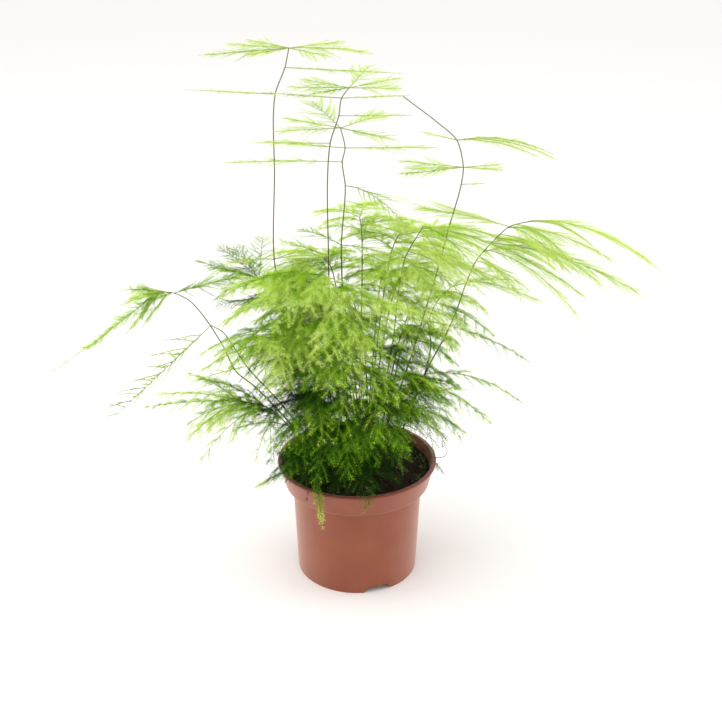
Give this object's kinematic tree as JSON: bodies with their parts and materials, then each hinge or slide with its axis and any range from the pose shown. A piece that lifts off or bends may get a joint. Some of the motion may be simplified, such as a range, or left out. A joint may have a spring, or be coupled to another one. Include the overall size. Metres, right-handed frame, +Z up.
{
  "type": "potted asparagus fern",
  "caption": "Feathery houseplant of fine needled fronds on wiry arching stems, standing in soil in a round terracotta-coloured plastic nursery pot.",
  "frame": {"origin": "middle of the pot's underside, on the surface that the pot stands on", "axes": "+Z up, +X to the right across the long arching fronds, -Y towards the viewer of the picture"},
  "size_m": [0.4451, 0.1952, 0.4018],
  "materials": {
    "pot_plastic": "satin, terracotta-coloured polypropylene",
    "potting_soil": "dark peaty crumbs with bits of bark",
    "foliage_lime": "pale yellow-green young needles on grey-green stems",
    "foliage_green": "fresh green needles on grey-green stems",
    "foliage_deep": "deep green older needles on grey-green stems"
  },
  "bodies": {
    "root": {"frond_arching_left": "foliage_green", "frond_arching_right": "foliage_lime", "frond_back_left": "foliage_deep", "frond_centre_front": "foliage_green", "frond_front_left": "foliage_lime", "frond_front_middle": "foliage_lime", "frond_front_right": "foliage_lime", "frond_left_front": "foliage_green", "frond_left_plume": "foliage_green", "frond_long_right": "foliage_lime", "frond_low_left": "foliage_green", "frond_lower_1": "foliage_deep", "frond_lower_2": "foliage_deep", "frond_lower_3": "foliage_deep", "frond_lower_4": "foliage_deep", "frond_lower_5": "foliage_deep", "frond_lower_6": "foliage_deep", "frond_lower_7": "foliage_deep", "frond_lower_right": "foliage_green", "frond_middle_1": "foliage_green", "frond_middle_2": "foliage_green", "frond_middle_3": "foliage_green", "frond_middle_4": "foliage_green", "frond_middle_5": "foliage_green", "frond_over_rim": "foliage_deep", "frond_right_front": "foliage_green", "frond_short_1": "foliage_deep", "frond_short_2": "foliage_deep", "frond_short_3": "foliage_deep", "frond_sparse_left": "foliage_green", "frond_tall_left": "foliage_lime", "frond_tall_middle": "foliage_lime", "frond_tall_right": "foliage_lime", "frond_tall_thin": "foliage_lime", "frond_upper_1": "foliage_lime", "frond_upper_2": "foliage_lime", "frond_upper_3": "foliage_lime", "frond_upper_4": "foliage_lime", "frond_upper_5": "foliage_lime", "pot": "pot_plastic", "soil": "potting_soil"}
  },
  "joints": []
}
